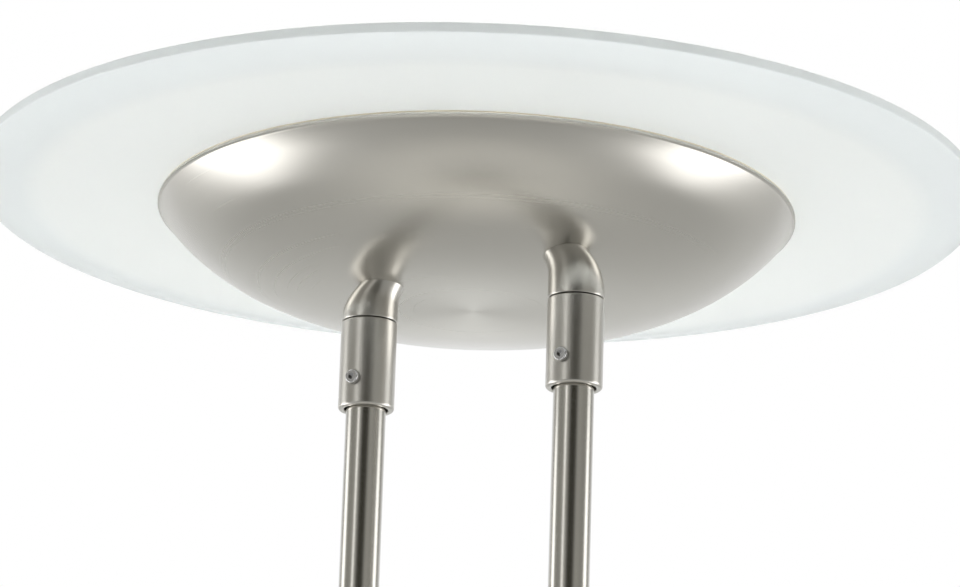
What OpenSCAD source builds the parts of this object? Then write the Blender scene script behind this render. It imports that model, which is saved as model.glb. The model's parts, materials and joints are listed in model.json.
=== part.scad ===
// Torchiere floor lamp: a wide frosted glass ring on a spun metal bowl, carried by two parallel
// poles on a weighted round base. The origin is on the floor under the bowl's axis, +Z is up,
// +X runs along the line of the two poles and +Y points to the back, where the cord enters.

/* [Overall] */
// Height from the floor to the top of the glass rim
total_h = 1800; // [1500:10:2000]
// Distance between the axes of the two poles
pole_spacing = 92; // [84:1:110]
// Distance of the pole line in front of the bowl's axis
pole_setback = 41; // [34:1:44]
// Sideways distance of the poles' midpoint from the bowl's axis
pole_shift = 20.5; // [0:0.5:22]

/* [Glass] */
// Outer radius of the glass
glass_r = 205; // [180:1:230]
// Radius where the flat part ends and the rim starts to rise
glass_flat_r = 182; // [160:1:190]
// Thickness of the glass
glass_t = 4; // [3:0.5:6]
// Height by which the rim rises above the flat part
glass_rise = 4; // [2:0.5:8]

/* [Bowl] */
// Outer radius of the bowl at its rim
bowl_r = 130.5; // [128:0.5:136]
// Depth of the bowl
bowl_h = 41; // [39:0.5:46]
// Sheet thickness of the bowl
bowl_t = 1.2; // [1:0.1:1.5]
// Fullness of the bowl's outline towards the bottom
bowl_bottom_power = 3.4; // [3:0.1:3.6]
// Fullness of the bowl's outline towards the rim
bowl_side_power = 1.15; // [1.1:0.05:1.25]

/* [Poles] */
// Outer diameter of a pole
pole_d = 16; // [15:0.5:17]
// Wall thickness of a pole
pole_wall = 1.2; // [1:0.1:1.5]
// Outer diameter of the collars
collar_d = 22.4; // [22:0.1:25]
// Length of the collars under the bowl
collar_l = 36; // [32:1:44]
// Drop from the glass rim to the seam between elbow and collar
seam_drop = 59.5; // [58:0.5:66]

/* [Base] */
// Outer radius of the base
base_r = 145; // [135:1:165]
// Height of the base's top face above the floor
base_h = 24; // [22:1:32]

/* [Dimmer] */
// Height of the dimmer's axis above the floor
dimmer_z = 1080; // [900:10:1120]
// Diameter of the dimmer knob
knob_d = 26; // [20:1:30]

/* [Hidden] */

$fn = 64;
fit = 0.05;      // radial clearance of a fit inside one assembly
cut = 1;         // how far a cutter runs past the face it cuts

nickel = "#b9b5ad";
steel = "#8f9296";
frosted = "#e6eeee";
opal = "#f7f7f2";
black = "#202020";
white = "#f0f0ee";

// Pole axes, seen from the front
left_x = pole_shift - pole_spacing / 2;
right_x = pole_shift + pole_spacing / 2;
pole_y = -pole_setback;
pole_ir = pole_d / 2 - pole_wall;

// Heights of the head
glass_z = total_h - glass_rise - glass_t;   // underside of the flat glass
lip_z = glass_z - 1;                        // top of the bowl's inward lip
lip_inner_r = 110.5;
gasket_gap = 0.3;
seam_z = total_h - glass_t - seam_drop;     // bottom face of the elbows
seam_gap = 0.5;                             // shadow gap between elbow and collar
collar_top = seam_z - seam_gap;
collar_bottom = collar_top - collar_l;
collar_bore_d = 17.6;
spigot_d = 12;
spigot_l = 9.5;
elbow_shift = 6;                            // how far an elbow leans inwards
elbow_top_d = 15;
elbow_steps = 5;
elbow_top = lip_z - bowl_h + 12;            // above the bowl's skin, cut back to it
nipple_d = 10;
nipple_bore = 7;
plate_z = glass_z - 30;                     // underside of the support plate
plate_t = 2;
plate_r = 86;
nipple_top = plate_z + plate_t + 8;
sink_z = plate_z + plate_t + 14;            // underside of the heat sink
sink_t = 2;
sink_r = 96;
board_t = 1.6;
board_r = 74;
ring_outer_r = 118.5;
glass_inner_r = 120;

// Heights of the poles
pole_bottom = base_h;
pole_top = collar_bottom + 24;
section_l = (pole_top - pole_bottom) / 3;
coupler_l = 50;
cable_d = 5;
cable_hole_d = 7;

// Dimmer
dimmer_w = pole_spacing + 36;
dimmer_h = 44;
dimmer_half = 15;                            // depth of each half shell
dimmer_wall = 2.2;
shaft_d = 6;
shaft_fit = 0.06;
shaft_start = 4.5;                           // both measured forwards from the pole line
shaft_end = dimmer_half + 12.5;
knob_l = 14;
knob_gap = 0.6;

// Base
foot_h = 3;
base_plate_t = 1.5;
cover_t = 1.5;
cover_round = 8;
weight_r = 139;
weight_z = foot_h + base_plate_t;
weight_top = base_h - cover_t;
recess_h = 13;                               // depth of the nut recesses under the weight
stud_bottom = weight_z + 6;
foot_collar_l = 26;
gland_z = 12;
gland_bore_d = 7;

// ---- helpers -------------------------------------------------------------------------------

// A round bar between two points
module rod(a, b, d) {
    v = b - a;
    l = norm(v);
    translate(a)
        rotate([0, acos(v[2] / l), atan2(v[1], v[0])])
            cylinder(d = d, h = l);
}

// A cable along straight runs, with a slightly fuller ball at each bend
module cable(path) {
    union() {
        for (i = [0 : len(path) - 2])
            rod(path[i], path[i + 1], cable_d);
        for (i = [1 : len(path) - 2])
            translate(path[i])
                sphere(d = cable_d + 0.6);
    }
}

// A tube standing on z = 0
module tube(od, id, h) {
    difference() {
        cylinder(d = od, h = h);
        translate([0, 0, -cut])
            cylinder(d = id, h = h + 2 * cut);
    }
}

// Children at the foot of both poles' axes
module at_poles(z) {
    for (x = [left_x, right_x])
        translate([x, pole_y, z])
            children();
}

// Children where the two nipples pass through the bowl
module at_nipples(z) {
    for (x = [left_x + elbow_shift, right_x - elbow_shift])
        translate([x, pole_y, z])
            children();
}

// A hexagonal nut standing on z = 0
module hex_nut(flats, bore, h) {
    difference() {
        cylinder(d = flats / cos(30), h = h, $fn = 6);
        translate([0, 0, -cut])
            cylinder(d = bore, h = h + 2 * cut);
    }
}

// A socket-head screw along +Z, with the underside of its head at z = 0
module socket_screw(d, l, head_d, head_h) {
    difference() {
        union() {
            cylinder(d = head_d, h = head_h);
            translate([0, 0, -l])
                cylinder(d = d, h = l + 0.1);
        }
        translate([0, 0, head_h * 0.45])
            cylinder(d = head_d * 0.52, h = head_h, $fn = 6);
    }
}

// Half of the bowl's section, from the rim down to the axis
function bowl_curve(r, h, steps = 28) = [
    for (i = [0 : steps])
        let (a = 90 * i / steps)
            [r * pow(cos(a), 2 / bowl_bottom_power), -h * pow(sin(a), 2 / bowl_side_power)]
];

// Reversed copy of a list of points
function reversed(points) = [for (i = [len(points) - 1 : -1 : 0]) points[i]];

// Everything that lies inside the bowl's outer skin, grown by `extra`
module bowl_solid(extra = 0) {
    translate([0, 0, lip_z])
        rotate_extrude($fn = 128)
            polygon(concat([[0, 0]], bowl_curve(bowl_r + extra, bowl_h + extra)));
}

// Everything that lies inside the bowl's inner skin
module bowl_hollow() {
    bowl_solid(-bowl_t);
}

// ---- head ----------------------------------------------------------------------------------

// Flat frosted ring whose outer band rises in a shallow cove
module glass_shade() {
    band = glass_r - glass_flat_r;
    steps = 8;
    cove = [
        for (i = [0 : steps])
            [glass_flat_r + band * i / steps, glass_rise * (1 - cos(90 * i / steps))]
    ];
    under = concat([[glass_inner_r, 0]], cove);
    over = [for (p = under) [p[0], p[1] + glass_t]];
    color(frosted)
        translate([0, 0, glass_z])
            rotate_extrude($fn = 160)
                polygon(concat(under, reversed(over)));
}

// Thin silicone ring that the glass rests on
module glass_gasket() {
    color("#e9e2cf")
        translate([0, 0, lip_z])
            rotate_extrude($fn = 128)
                translate([bowl_r - 5, 0])
                    square([4.5, glass_z - lip_z - gasket_gap]);
}

// Spun bowl with an inward lip and two holes for the nipples
module bowl_shell() {
    outer = bowl_curve(bowl_r, bowl_h);
    inner = [
        for (p = reversed(bowl_curve(bowl_r - bowl_t, bowl_h - bowl_t)))
            if (p[1] < -bowl_t) p
    ];
    rim_inner = [[bowl_r - bowl_t, -bowl_t], [lip_inner_r, -bowl_t], [lip_inner_r, 0]];
    color(nickel)
        difference() {
            translate([0, 0, lip_z])
                rotate_extrude($fn = 128)
                    polygon(concat(outer, inner, rim_inner));
            at_nipples(plate_z - 30)
                cylinder(d = nipple_d + 2 * fit, h = 30);
            for (a = [45 : 90 : 315])
                rotate(a)
                    translate([114.5, 0, lip_z - 3])
                        cylinder(d = 2.5 + 2 * fit, h = 4);
        }
}

// Cast elbow: a round foot that leans inwards, narrows and is cut to the bowl's skin.
// `lean` is +1 when it leans to +X and -1 when it leans to -X.
module elbow(x, lean) {
    straight = 4;
    rise = elbow_top - seam_z - straight;
    module slice(i) {
        k = i / elbow_steps;
        d = collar_d - (collar_d - elbow_top_d) * pow(k, 1.2);
        translate([lean * elbow_shift * (1 - cos(90 * k)), 0, seam_z + straight + rise * 0.55 * k])
            rotate([0, lean * 12 * k, 0])
                cylinder(d = d, h = 0.4, $fn = 32);
    }
    translate([x, pole_y, 0])
        difference() {
            union() {
                translate([0, 0, seam_z])
                    cylinder(d = collar_d, h = straight + 0.2);
                translate([0, 0, seam_z - spigot_l])
                    cylinder(d = spigot_d, h = spigot_l + 1);
                for (i = [0 : elbow_steps - 1])
                    hull() {
                        slice(i);
                        slice(i + 1);
                    }
                translate([lean * elbow_shift, 0, seam_z + straight + rise * 0.5])
                    cylinder(d = elbow_top_d, h = rise * 0.5);
            }
            translate([-x, -pole_y, 0])
                bowl_solid(0.05);
            translate([0, 0, seam_z - spigot_l - cut])
                cylinder(d = 8, h = spigot_l + cut + 7);
            translate([lean * elbow_shift / 2, 0, seam_z + 4])
                sphere(r = 5.6);
            translate([lean * elbow_shift, 0, seam_z + 6])
                cylinder(d = nipple_d + 2 * fit, h = 40);
        }
}

module left_elbow() {
    color(nickel)
        elbow(left_x, 1);
}

module right_elbow() {
    color(nickel)
        elbow(right_x, -1);
}

// Collar under an elbow: a fit on the spigot above, a loose bore round the pole below
module collar(x) {
    wide = collar_l - spigot_l + seam_gap;
    screw_z = collar_l - 25;
    translate([x, pole_y, collar_bottom])
        difference() {
            cylinder(d = collar_d, h = collar_l);
            translate([0, 0, -cut])
                cylinder(d = collar_bore_d, h = wide + cut);
            cylinder(d = spigot_d + 2 * fit, h = collar_l + cut);
            translate([0, 0, screw_z])
                rotate([90, 0, 0])
                    cylinder(d = 3 + 2 * fit, h = collar_d);
            translate([0, -collar_d / 2 + 0.4, screw_z])
                rotate([90, 0, 0])
                    cylinder(d = 6.2, h = 3);
        }
}

module left_collar() {
    color(nickel)
        collar(left_x);
}

module right_collar() {
    color(nickel)
        collar(right_x);
}

// Socket-head screws that press the upper poles inside their collars
module collar_screws() {
    seat = collar_d / 2 - 0.4;
    color(steel)
        at_poles(collar_bottom + collar_l - 25)
            translate([0, -seat, 0])
                rotate([90, 0, 0])
                    socket_screw(3, seat - pole_d / 2, 5.5, 2.6);
}

// Hollow threaded nipples that carry the bowl on the elbows
module head_nipples() {
    color(steel)
        at_nipples(seam_z + 8)
            tube(nipple_d, nipple_bore, nipple_top - seam_z - 8);
}

// Sleeves between the bowl's floor and the support plate
module head_spacers() {
    color(steel)
        intersection() {
            at_nipples(plate_z - 20)
                tube(18, nipple_d + 2 * fit, 20);
            bowl_hollow();
        }
}

module head_washers() {
    color(steel)
        at_nipples(plate_z + plate_t)
            tube(20, nipple_d + 2 * fit, 1);
}

module head_nuts() {
    color(steel)
        at_nipples(plate_z + plate_t + 1)
            hex_nut(14, nipple_d + 2 * fit, 5);
}

// Places of the four posts that hold the heat sink
post_r = 66;
post_places = [for (a = [40, 140, 250, 290]) [post_r * cos(a), post_r * sin(a)]];

// Steel plate inside the bowl that everything in the head is screwed to
module support_plate() {
    color(steel)
        difference() {
            translate([0, 0, plate_z])
                cylinder(r = plate_r, h = plate_t, $fn = 96);
            at_nipples(plate_z - cut)
                cylinder(d = nipple_d + 2 * fit, h = plate_t + 2 * cut);
            for (p = post_places)
                translate([p[0], p[1], plate_z - cut])
                    cylinder(d = 3, h = plate_t + 2 * cut);
            for (x = [-50, 50])
                translate([x, 22, plate_z - cut])
                    cylinder(d = 3, h = plate_t + 2 * cut);
        }
}

// Hexagonal posts between the support plate and the heat sink
module plate_standoffs() {
    color(steel)
        for (p = post_places)
            translate([p[0], p[1], plate_z + plate_t])
                hex_nut(6, 3, sink_z - plate_z - plate_t);
}

// Aluminium tray with a low upturned edge
module heat_sink() {
    color("#c4c7ca")
        difference() {
            translate([0, 0, sink_z])
                rotate_extrude($fn = 96)
                    polygon([
                        [0, 0], [sink_r, 0], [sink_r, 4], [sink_r - sink_t, 4],
                        [sink_r - sink_t, sink_t], [0, sink_t]
                    ]);
            for (p = post_places)
                translate([p[0], p[1], sink_z - cut])
                    cylinder(d = 3 + 2 * fit, h = sink_t + 2 * cut);
            translate([0, -40, sink_z - cut])
                cylinder(d = 8, h = sink_t + 2 * cut);
        }
}

module heat_sink_screws() {
    color(steel)
        for (p = post_places)
            translate([p[0], p[1], sink_z + sink_t + board_t])
                socket_screw(3, 8, 5.5, 1.8);
}

// Round LED circuit board on the tray
module led_board() {
    color(white)
        difference() {
            translate([0, 0, sink_z + sink_t])
                cylinder(r = board_r + 4, h = board_t, $fn = 96);
            for (p = post_places)
                translate([p[0], p[1], sink_z + sink_t - cut])
                    cylinder(d = 3 + 2 * fit, h = board_t + 2 * cut);
            translate([0, -40, sink_z + sink_t - cut])
                cylinder(d = 8, h = board_t + 2 * cut);
        }
}

// Two rings of square LED packages
module led_chips() {
    color("#f2d46a")
        for (ring = [[30, 8], [56, 16]])
            for (i = [0 : ring[1] - 1])
                rotate(360 * (i + 0.5) / ring[1])
                    translate([ring[0] - 2.5, -2.5, sink_z + sink_t + board_t])
                        cube([5, 5, 0.8]);
}

// Flat LED driver in its plastic case
module led_driver() {
    color(white)
        difference() {
            translate([-56, 6, plate_z + plate_t])
                cube([112, 32, 13]);
            for (x = [-50, 50])
                translate([x, 22, plate_z])
                    cylinder(d = 3 + 2 * fit, h = 20);
            for (x = [-50, 50])
                translate([x - 7, 5, plate_z + plate_t + 3])
                    cube([14, 34, 11]);
        }
}

module driver_screws() {
    color(steel)
        for (x = [-50, 50])
            translate([x, 22, plate_z + plate_t + 3])
                socket_screw(3, 5, 5.5, 2);
}

// Three-way terminal block next to the driver
module head_terminal() {
    color(white)
        difference() {
            translate([4, -22, plate_z + plate_t])
                cube([30, 16, 11]);
            for (x = [9, 19, 29])
                translate([x, -14, plate_z + plate_t + 6])
                    cylinder(d = 4, h = 6);
        }
}

// White cone from the LED board up to the diffuser
module reflector() {
    foot_z = sink_z + sink_t + board_t - lip_z;
    seat_z = -3;
    color(white)
        translate([0, 0, lip_z])
            rotate_extrude($fn = 96)
                polygon([
                    [board_r - 2, foot_z], [board_r, foot_z], [102, seat_z - 1], [109.8, seat_z - 1],
                    [109.8, seat_z], [101, seat_z]
                ]);
}

// Opal disc that covers the LEDs
module diffuser() {
    color(opal)
        translate([0, 0, lip_z - 3])
            cylinder(r = 110, h = 3.4, $fn = 128);
}

// Stepped ring that clamps the diffuser and centres the glass
module retaining_ring() {
    color(nickel)
        difference() {
            translate([0, 0, lip_z])
                rotate_extrude($fn = 128)
                    polygon([
                        [104, 0.4], [110.3, 0.4], [110.3, 0], [ring_outer_r, 0],
                        [ring_outer_r, 1.6], [ring_outer_r - 0.6, 2.2], [104.6, 2.2], [104, 1.6]
                    ]);
            for (a = [45 : 90 : 315])
                rotate(a)
                    translate([114.5, 0, lip_z - cut])
                        cylinder(d = 2.5 + 2 * fit, h = 5);
        }
}

module ring_screws() {
    color(steel)
        for (a = [45 : 90 : 315])
            rotate(a)
                translate([114.5, 0, lip_z + 2.2])
                    socket_screw(2.5, 5, 4.6, 1.2);
}

// ---- poles ---------------------------------------------------------------------------------

// One third of a pole; `hole_side` is the sign of the side with a cable hole, or 0
module pole_section(x, number, hole_side) {
    z = pole_bottom + number * section_l;
    translate([x, pole_y, 0])
        difference() {
            translate([0, 0, z])
                tube(pole_d, 2 * pole_ir, section_l);
            if (hole_side != 0)
                translate([0, 0, dimmer_z])
                    rotate([0, hole_side * 90, 0])
                        cylinder(d = cable_hole_d, h = pole_d);
        }
}

module left_pole_lower() {
    color(nickel)
        pole_section(left_x, 0, 0);
}

module left_pole_middle() {
    color(nickel)
        pole_section(left_x, 1, 1);
}

module left_pole_upper() {
    color(nickel)
        pole_section(left_x, 2, 0);
}

module right_pole_lower() {
    color(nickel)
        pole_section(right_x, 0, 0);
}

module right_pole_middle() {
    color(nickel)
        pole_section(right_x, 1, -1);
}

module right_pole_upper() {
    color(nickel)
        pole_section(right_x, 2, 0);
}

// Hollow sleeves that join the pole sections from inside
module pole_couplers() {
    color(steel)
        for (number = [1, 2])
            at_poles(pole_bottom + number * section_l - coupler_l / 2)
                tube(2 * (pole_ir - fit), 9, coupler_l);
}

// Inner cable from the base terminal to the dimmer
module feed_cable() {
    low = weight_z + 3;
    path = [
        [0, 106, low], [left_x, pole_y, low], [left_x, pole_y, dimmer_z],
        [pole_shift - 22, pole_y, dimmer_z]
    ];
    color(black)
        cable(path);
}

// Inner cable from the dimmer up to the terminal block in the head
module head_cable() {
    top_x = right_x - elbow_shift;
    path = [
        [pole_shift + 22, pole_y, dimmer_z], [right_x, pole_y, dimmer_z],
        [right_x, pole_y, seam_z], [top_x, pole_y, seam_z + 7],
        [top_x, pole_y, nipple_top + 3], [37, -19, nipple_top + 1]
    ];
    color(black)
        cable(path);
}

// ---- dimmer --------------------------------------------------------------------------------

// One half of the dimmer case; `side` is -1 for the front half and +1 for the back half
module dimmer_half_shell(side) {
    depth = dimmer_half - 0.05;
    difference() {
        translate([pole_shift, pole_y + side * 0.05, dimmer_z])
            rotate([side * -90, 0, 0])
                linear_extrude(depth)
                    dimmer_outline();
        translate([pole_shift, pole_y, dimmer_z])
            rotate([side * -90, 0, 0])
                translate([0, 0, -cut])
                    linear_extrude(dimmer_half - dimmer_wall + cut)
                        square([pole_spacing - 26, dimmer_h - 2 * dimmer_wall], center = true);
        at_poles(dimmer_z - dimmer_h)
            cylinder(d = pole_d + 2 * fit, h = 2 * dimmer_h);
        for (x = [left_x, right_x])
            translate([x, pole_y, dimmer_z])
                rotate([0, x < pole_shift ? 90 : -90, 0])
                    cylinder(d = cable_hole_d, h = 20);
        for (x = [left_x - 12.5, right_x + 12.5])
            translate([x, pole_y + 20, dimmer_z])
                rotate([90, 0, 0])
                    cylinder(d = 3 + 2 * fit, h = 28);
        for (x = [left_x - 12.5, right_x + 12.5])
            translate([x, pole_y + 20, dimmer_z])
                rotate([90, 0, 0])
                    cylinder(d = 6, h = 8);
    }
}

// Upright outline of the dimmer case with round corners
module dimmer_outline() {
    corner = 6;
    wide = dimmer_w - 2 * corner;
    high = dimmer_h - 2 * corner;
    square([dimmer_w, high], center = true);
    square([wide, dimmer_h], center = true);
    for (x = [-wide / 2, wide / 2])
        for (y = [-high / 2, high / 2])
            translate([x, y])
                circle(r = corner);
}

module dimmer_front() {
    color(nickel)
        difference() {
            dimmer_half_shell(-1);
            translate([pole_shift, pole_y, dimmer_z])
                rotate([90, 0, 0])
                    cylinder(d = 9, h = dimmer_half + cut);
        }
}

module dimmer_back() {
    color(nickel)
        dimmer_half_shell(1);
}

module dimmer_screws() {
    color(steel)
        for (x = [left_x - 12.5, right_x + 12.5])
            translate([x, pole_y + 12, dimmer_z])
                rotate([-90, 0, 0])
                    socket_screw(3, 18, 5.5, 2.4);
}

// Small circuit board behind the potentiometer
module dimmer_board() {
    color("#2f6b3c")
        translate([pole_shift - 21, pole_y, dimmer_z - 14])
            cube([42, 1.6, 28]);
}

// Body and threaded bush of the rotary potentiometer
module dimmer_pot() {
    color(steel)
        translate([pole_shift, pole_y, dimmer_z])
            rotate([90, 0, 0])
                difference() {
                    union() {
                        cylinder(d = 17, h = 9);
                        cylinder(d = 8.6, h = dimmer_half + 2);
                    }
                    translate([0, 0, 4])
                        cylinder(r = shaft_d / 2 + shaft_fit, h = dimmer_half + 5);
                }
}

// Shaft of the potentiometer
module dimmer_shaft() {
    color("#d8d8d4")
        translate([pole_shift, pole_y - shaft_start, dimmer_z])
            rotate([90, 0, 0])
                cylinder(d = shaft_d, h = shaft_end - shaft_start);
}

// Knob with a recess in front of the bush and a shallow pointer groove
module dimmer_knob() {
    front = dimmer_half + knob_gap;
    color(nickel)
        translate([pole_shift, pole_y, dimmer_z])
            rotate([90, 0, 0])
                difference() {
                    translate([0, 0, front])
                        rotate_extrude()
                            polygon([
                                [0, 0], [knob_d / 2, 0], [knob_d / 2, knob_l - 1],
                                [knob_d / 2 - 1, knob_l], [0, knob_l]
                            ]);
                    translate([0, 0, front - cut])
                        cylinder(d = 11, h = 4 + cut);
                    translate([0, 0, front])
                        cylinder(d = shaft_d, h = shaft_end - front);
                    translate([-0.6, knob_d / 2 - 7, front + knob_l - 0.8])
                        cube([1.2, 8, 2]);
                }
}

// ---- base ----------------------------------------------------------------------------------

// Half section of the cover's outer skin, grown by `extra`
function cover_curve(extra) =
    let (r = base_r + extra, top = base_h + extra, round = cover_round + extra)
        concat(
            [for (i = [0 : 8]) let (a = 90 * i / 8)
                [r - round + round * cos(a), top - round + round * sin(a)]],
            [[0, top]]
        );

// Spun metal cover with holes for the studs and the cord gland
module base_cover() {
    color(nickel)
        difference() {
            rotate_extrude($fn = 128)
                polygon(concat(
                    [[base_r, foot_h]], cover_curve(0), reversed(cover_curve(-cover_t)),
                    [[base_r - cover_t, foot_h]]
                ));
            at_poles(base_h - 5)
                cylinder(d = nipple_d + 2 * fit, h = 10);
            translate([0, base_r + 5, gland_z])
                rotate([90, 0, 0])
                    cylinder(d = 10 + 2 * fit, h = 20);
        }
}

// Cast-iron weight with a cable channel, a pocket for the terminal and recesses for the nuts
module base_weight() {
    channel = [-left_x, 106 - pole_y];
    color("#3b3b3d")
        difference() {
            rotate_extrude($fn = 128)
                polygon([
                    [0, weight_z], [weight_r, weight_z], [weight_r, weight_top - 9],
                    [weight_r - 7, weight_top], [0, weight_top]
                ]);
            at_poles(weight_z)
                cylinder(d = nipple_d + 2 * fit, h = 30);
            at_poles(weight_z - cut)
                cylinder(d = 26, h = recess_h + cut);
            translate([-22, 96, weight_z - cut])
                cube([44, 50, 15 + cut]);
            translate([left_x, pole_y, weight_z - cut])
                rotate(atan2(channel[1], channel[0]))
                    translate([0, -4, 0])
                        cube([norm(channel), 8, 8 + cut]);
            for (a = [60 : 90 : 330])
                rotate(a)
                    translate([100, 0, weight_z - cut])
                        cylinder(d = 4, h = 11);
        }
}

// Steel closing plate under the weight
module base_plate() {
    color("#2c2c2e")
        difference() {
            translate([0, 0, foot_h])
                cylinder(r = base_r - 3, h = base_plate_t, $fn = 128);
            for (a = [60 : 90 : 330])
                rotate(a)
                    translate([100, 0, 0])
                        cylinder(d = 4 + 2 * fit, h = 10);
        }
}

module base_plate_screws() {
    color(steel)
        for (a = [60 : 90 : 330])
            rotate(a)
                translate([100, 0, foot_h])
                    rotate([180, 0, 0])
                        socket_screw(4, 9, 7, 2);
}

// Rubber feet
module base_feet() {
    color(black)
        for (a = [0 : 72 : 288])
            rotate(a + 18)
                translate([122, 0, 0])
                    cylinder(d = 20, h = foot_h);
}

// Collar at the foot of a pole
module foot_collar(x) {
    translate([x, pole_y, base_h])
        difference() {
            tube(collar_d, pole_d + 2 * fit, foot_collar_l);
            translate([0, 0, foot_collar_l / 2])
                rotate([90, 0, 0])
                    cylinder(d = 3 + 2 * fit, h = collar_d);
            translate([0, -collar_d / 2 + 0.4, foot_collar_l / 2])
                rotate([90, 0, 0])
                    cylinder(d = 6.2, h = 3);
        }
}

module left_foot_collar() {
    color(nickel)
        foot_collar(left_x);
}

module right_foot_collar() {
    color(nickel)
        foot_collar(right_x);
}

module foot_screws() {
    seat = collar_d / 2 - 0.4;
    color(steel)
        at_poles(base_h + foot_collar_l / 2)
            translate([0, -seat, 0])
                rotate([90, 0, 0])
                    socket_screw(3, seat - pole_d / 2, 5.5, 2.6);
}

// Hollow stepped studs: a plug inside the pole and a threaded end through the base
module pole_studs() {
    color(steel)
        at_poles(0)
            difference() {
                union() {
                    translate([0, 0, base_h])
                        cylinder(r = pole_ir - fit, h = 30);
                    translate([0, 0, stud_bottom])
                        cylinder(d = nipple_d, h = base_h - stud_bottom + cut);
                }
                translate([0, 0, weight_z])
                    cylinder(d = nipple_bore, h = 60);
            }
}

module stud_washers() {
    color(steel)
        at_poles(weight_z + recess_h - 1.5)
            tube(22, nipple_d + 2 * fit, 1.5);
}

module stud_nuts() {
    color(steel)
        at_poles(weight_z + recess_h - 6.5)
            hex_nut(17, nipple_d + 2 * fit, 5);
}

// Terminal block in the base pocket
module base_terminal() {
    color(white)
        difference() {
            translate([-15, 106, weight_z + 0.2])
                cube([30, 16, 11]);
            for (x = [-10, 0, 10])
                translate([x, 114, weight_z + 6])
                    cylinder(d = 4, h = 6);
        }
}

// Flanged bush that the mains cord enters through
module cord_gland() {
    color(black)
        translate([0, base_r, gland_z])
            rotate([-90, 0, 0])
                difference() {
                    union() {
                        cylinder(d = 15, h = 3);
                        translate([0, 0, -13])
                            cylinder(d = 10, h = 14);
                    }
                    translate([0, 0, -20])
                        cylinder(d = gland_bore_d, h = 30);
                }
}

module gland_nut() {
    color(black)
        translate([0, base_r - cover_t - 0.4, gland_z])
            rotate([90, 0, 0])
                hex_nut(13, 10 + 2 * fit, 3.6);
}

// ---- nodes ---------------------------------------------------------------------------------

glass_shade();
glass_gasket();
bowl_shell();
left_elbow();
right_elbow();
left_collar();
right_collar();
collar_screws();
head_nipples();
head_spacers();
head_washers();
head_nuts();
support_plate();
plate_standoffs();
heat_sink();
heat_sink_screws();
led_board();
led_chips();
led_driver();
driver_screws();
head_terminal();
reflector();
diffuser();
retaining_ring();
ring_screws();
left_pole_lower();
left_pole_middle();
left_pole_upper();
right_pole_lower();
right_pole_middle();
right_pole_upper();
pole_couplers();
feed_cable();
head_cable();
dimmer_front();
dimmer_back();
dimmer_screws();
dimmer_board();
dimmer_pot();
dimmer_shaft();
dimmer_knob();
base_cover();
base_weight();
base_plate();
base_plate_screws();
base_feet();
left_foot_collar();
right_foot_collar();
foot_screws();
pole_studs();
stud_washers();
stud_nuts();
base_terminal();
cord_gland();
gland_nut();
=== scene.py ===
import json
import math

import bmesh
import bpy
from mathutils import Matrix, Vector


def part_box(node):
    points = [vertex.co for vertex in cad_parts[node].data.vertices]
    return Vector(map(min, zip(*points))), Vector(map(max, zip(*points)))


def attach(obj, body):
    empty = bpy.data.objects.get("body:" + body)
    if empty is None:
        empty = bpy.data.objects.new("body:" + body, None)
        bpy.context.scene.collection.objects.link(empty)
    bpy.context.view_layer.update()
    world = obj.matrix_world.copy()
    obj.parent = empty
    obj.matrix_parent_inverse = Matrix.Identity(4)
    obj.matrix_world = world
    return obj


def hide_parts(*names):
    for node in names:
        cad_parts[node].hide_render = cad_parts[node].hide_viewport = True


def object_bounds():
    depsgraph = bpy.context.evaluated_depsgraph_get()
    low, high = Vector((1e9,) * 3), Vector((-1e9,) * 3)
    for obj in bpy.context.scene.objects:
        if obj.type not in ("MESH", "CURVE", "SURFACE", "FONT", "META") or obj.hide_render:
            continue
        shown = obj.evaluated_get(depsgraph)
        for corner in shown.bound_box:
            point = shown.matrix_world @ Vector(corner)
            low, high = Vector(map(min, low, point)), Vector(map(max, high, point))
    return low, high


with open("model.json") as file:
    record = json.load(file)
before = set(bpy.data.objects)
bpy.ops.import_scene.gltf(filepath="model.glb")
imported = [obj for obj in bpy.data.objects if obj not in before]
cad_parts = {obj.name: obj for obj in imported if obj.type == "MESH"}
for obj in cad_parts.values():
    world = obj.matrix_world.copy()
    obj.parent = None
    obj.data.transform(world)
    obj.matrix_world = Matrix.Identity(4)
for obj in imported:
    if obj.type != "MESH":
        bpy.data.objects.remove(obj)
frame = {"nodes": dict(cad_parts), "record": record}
cad_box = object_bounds()

# ---- sizes, in metres, worked out from the frame -------------------------------------------

MM = 0.001
FLOOR_Z = cad_box[0].z
TOP_Z = cad_box[1].z


def radius_of(node):
    """Half the width of a round node."""
    low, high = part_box(node)
    return (high.x - low.x) / 2


def middle_of(node):
    """Centre of a node's box."""
    low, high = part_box(node)
    return (low + high) / 2


GLASS_R = radius_of("glass_shade")
GLASS_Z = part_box("glass_shade")[0].z            # underside of the flat glass
GLASS_T = 4 * MM
GLASS_RISE = TOP_Z - GLASS_Z - GLASS_T
GLASS_INNER_R = 120 * MM
GLASS_FLAT_R = 182 * MM
GASKET_W = 4.5 * MM

BOWL_R = radius_of("bowl_shell")
BOWL_LIP_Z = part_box("bowl_shell")[1].z
BOWL_H = BOWL_LIP_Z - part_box("bowl_shell")[0].z
BOWL_T = 1.2 * MM
BOWL_BOTTOM_POWER = 3.4
BOWL_SIDE_POWER = 1.15
BOWL_LIP_INNER_R = 110.5 * MM

RING_INNER_R = 104 * MM
RING_STEP_R = 110.3 * MM                        # inside it the ring's underside is a little higher
RING_OUTER_R = 118.5 * MM
RING_SCREW_CIRCLE = 114.5 * MM

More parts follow.
